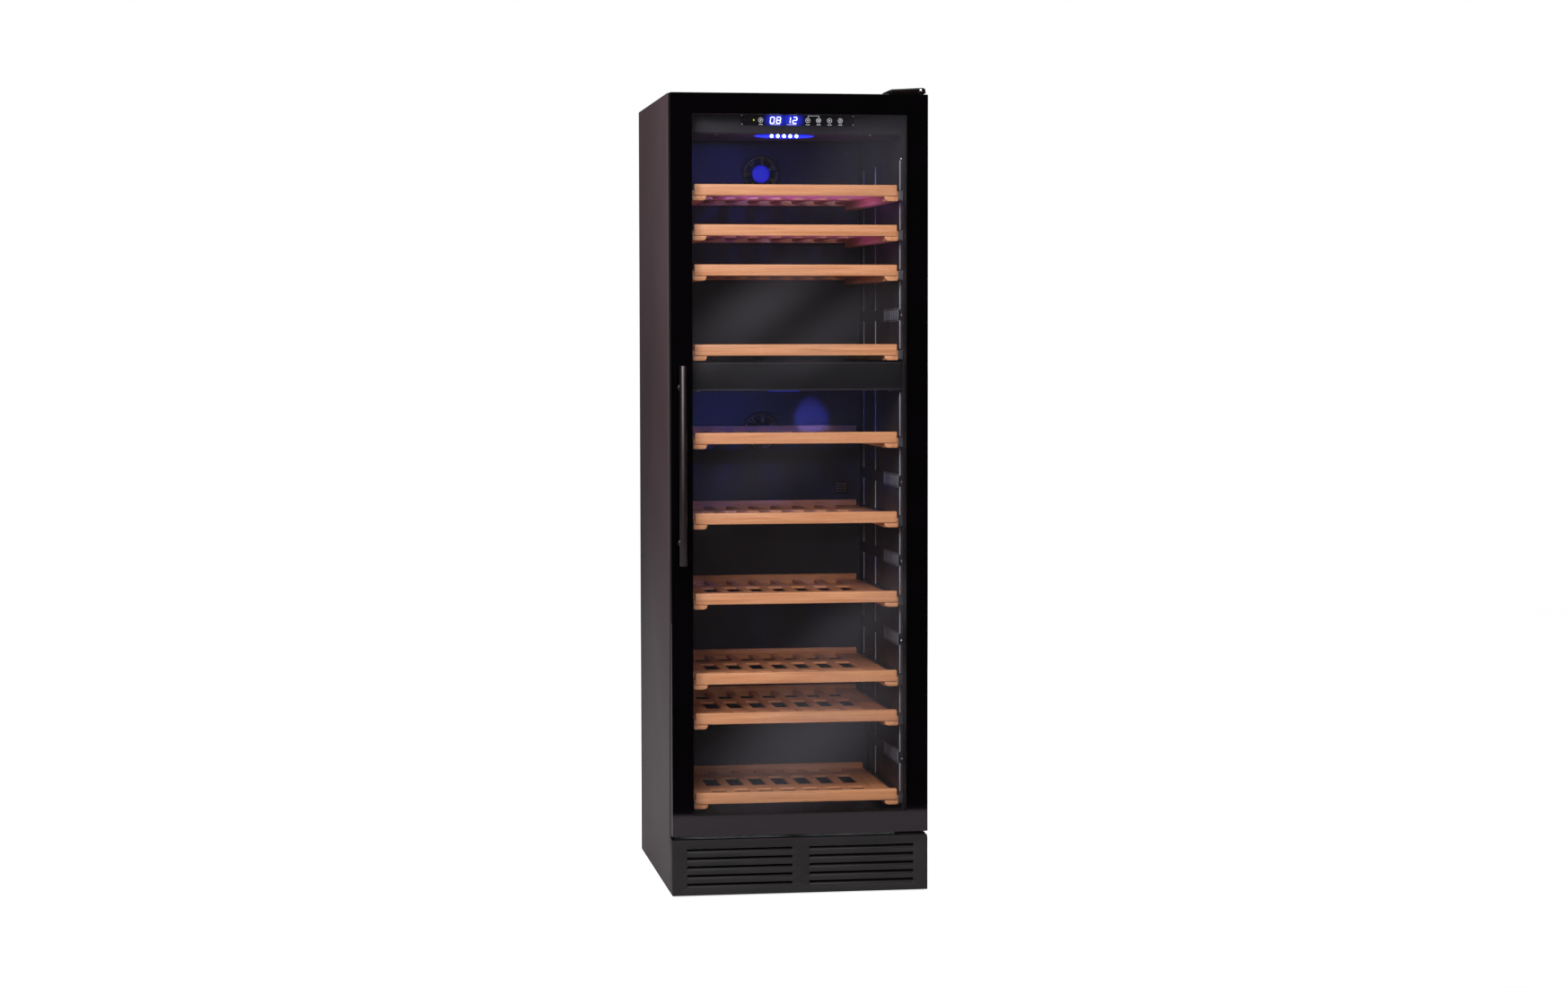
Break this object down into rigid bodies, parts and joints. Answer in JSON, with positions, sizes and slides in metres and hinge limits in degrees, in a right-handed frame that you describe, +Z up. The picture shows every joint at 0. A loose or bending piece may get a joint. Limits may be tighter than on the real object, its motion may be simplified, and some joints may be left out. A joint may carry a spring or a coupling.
{
  "type": "wine cooler",
  "caption": "Tall free-standing two-zone wine cooler with a glazed swing door, a bar handle, a louvred plinth and sliding wooden bottle shelves.",
  "frame": {"origin": "on the floor, under the middle of the whole object's width and depth (handle included)", "axes": "+X to the right seen from the front, +Y from the door towards the back, +Z up"},
  "size_m": [0.595, 0.725, 1.854],
  "materials": {
    "painted_steel": "satin, fine powder coat",
    "rear_steel": "matt powder coat",
    "zinc_steel": "zinc plated",
    "dark_steel": "satin",
    "liner_plastic": "fine moulded texture",
    "foam": "rigid cut foam",
    "panel_glass": "high gloss",
    "led_lens": "diffusing lens",
    "grille_plastic": "moulded",
    "aluminium": "rolled",
    "fan_plastic": "moulded",
    "compressor_paint": "semi-gloss black enamel",
    "copper": "drawn tube",
    "black_plastic": "moulded",
    "plinth_plastic": "satin moulded",
    "gloss_black_plastic": "gloss",
    "slide_steel": "zinc plated, dark",
    "door_frame_paint": "satin",
    "door_glass": "tinted, black printed border",
    "clear_glass": "clear, coated",
    "spacer_aluminium": "black anodised",
    "gasket_rubber": "soft extruded seal",
    "handle_metal": "dark anodised satin",
    "nylon": "natural nylon",
    "beech": "oiled beech"
  },
  "bodies": {
    "cabinet": {"side_panel_left": "painted_steel", "side_panel_right": "painted_steel", "top_panel": "painted_steel", "rear_panel": "rear_steel", "compressor_cover": "rear_steel", "base_frame": "zinc_steel", "front_frame": "dark_steel", "inner_liner": "liner_plastic", "insulation": "foam", "zone_divider": "liner_plastic", "control_housing": "liner_plastic", "touch_panel": "panel_glass", "light_strips": "led_lens", "air_grilles": "grille_plastic", "evaporators": "aluminium", "fan_motors": "zinc_steel", "compressor": "compressor_paint", "condenser": "aluminium", "condenser_fan_frame": "fan_plastic", "refrigerant_pipes": "copper", "drain_tray": "black_plastic", "control_box": "black_plastic", "mains_inlet": "black_plastic", "plinth_grille": "plinth_plastic", "hinge_brackets": "zinc_steel", "hinge_cover": "gloss_black_plastic", "slide_rails": "slide_steel"},
    "door": {"door_frame": "door_frame_paint", "outer_glass": "door_glass", "inner_glass": "clear_glass", "glass_spacer": "spacer_aluminium", "door_gasket": "gasket_rubber", "handle_bar": "handle_metal", "handle_posts": "handle_metal", "hinge_bushes": "nylon"},
    "upper_fan": {"upper_fan_rotor": "fan_plastic"},
    "lower_fan": {"lower_fan_rotor": "fan_plastic"},
    "condenser_fan": {"condenser_fan_rotor": "fan_plastic"},
    "foot_left": {"front_foot_left": "black_plastic"},
    "foot_right": {"front_foot_right": "black_plastic"},
    "shelf_1": {"shelf_1": "beech", "shelf_1_runners": "slide_steel"},
    "shelf_2": {"shelf_2": "beech", "shelf_2_runners": "slide_steel"},
    "shelf_3": {"shelf_3": "beech", "shelf_3_runners": "slide_steel"},
    "shelf_4": {"shelf_4": "beech", "shelf_4_runners": "slide_steel"},
    "shelf_5": {"shelf_5": "beech", "shelf_5_runners": "slide_steel"},
    "shelf_6": {"shelf_6": "beech", "shelf_6_runners": "slide_steel"},
    "shelf_7": {"shelf_7": "beech", "shelf_7_runners": "slide_steel"},
    "shelf_8": {"shelf_8": "beech", "shelf_8_runners": "slide_steel"},
    "shelf_9": {"shelf_9": "beech", "shelf_9_runners": "slide_steel"},
    "shelf_10": {"shelf_10": "beech", "shelf_10_runners": "slide_steel"}
  },
  "joints": [
    {"name": "door_swing", "type": "hinge", "parent": "cabinet", "child": "door", "pos_m": [0.2805, -0.2965, 0.14], "axis": [0, 0, 1], "range_deg": [0, 110]},
    {"name": "shelf_1_slide", "type": "slide", "parent": "cabinet", "child": "shelf_1", "axis": [0, -1, 0], "range_m": [0, 0.03]},
    {"name": "shelf_2_slide", "type": "slide", "parent": "cabinet", "child": "shelf_2", "axis": [0, -1, 0], "range_m": [0, 0.03]},
    {"name": "shelf_3_slide", "type": "slide", "parent": "cabinet", "child": "shelf_3", "axis": [0, -1, 0], "range_m": [0, 0.03]},
    {"name": "shelf_4_slide", "type": "slide", "parent": "cabinet", "child": "shelf_4", "axis": [0, -1, 0], "range_m": [0, 0.03]},
    {"name": "shelf_5_slide", "type": "slide", "parent": "cabinet", "child": "shelf_5", "axis": [0, -1, 0], "range_m": [0, 0.03]},
    {"name": "shelf_6_slide", "type": "slide", "parent": "cabinet", "child": "shelf_6", "axis": [0, -1, 0], "range_m": [0, 0.03]},
    {"name": "shelf_7_slide", "type": "slide", "parent": "cabinet", "child": "shelf_7", "axis": [0, -1, 0], "range_m": [0, 0.03]},
    {"name": "shelf_8_slide", "type": "slide", "parent": "cabinet", "child": "shelf_8", "axis": [0, -1, 0], "range_m": [0, 0.03]},
    {"name": "shelf_9_slide", "type": "slide", "parent": "cabinet", "child": "shelf_9", "axis": [0, -1, 0], "range_m": [0, 0.03]},
    {"name": "shelf_10_slide", "type": "slide", "parent": "cabinet", "child": "shelf_10", "axis": [0, -1, 0], "range_m": [0, 0.03]},
    {"name": "upper_fan_spin", "type": "hinge", "parent": "cabinet", "child": "upper_fan", "pos_m": [0, 0.3215, 1.687], "axis": [0, -1, 0], "continuous": true},
    {"name": "lower_fan_spin", "type": "hinge", "parent": "cabinet", "child": "lower_fan", "pos_m": [0, 0.3215, 1.05], "axis": [0, -1, 0], "continuous": true},
    {"name": "condenser_fan_spin", "type": "hinge", "parent": "cabinet", "child": "condenser_fan", "pos_m": [-0.155, -0.1685, 0.07], "axis": [0, -1, 0], "continuous": true},
    {"name": "foot_left_screw", "type": "slide", "parent": "cabinet", "child": "foot_left", "axis": [0, 0, -1], "range_m": [0, 0.015]},
    {"name": "foot_right_screw", "type": "slide", "parent": "cabinet", "child": "foot_right", "axis": [0, 0, -1], "range_m": [0, 0.015]}
  ]
}
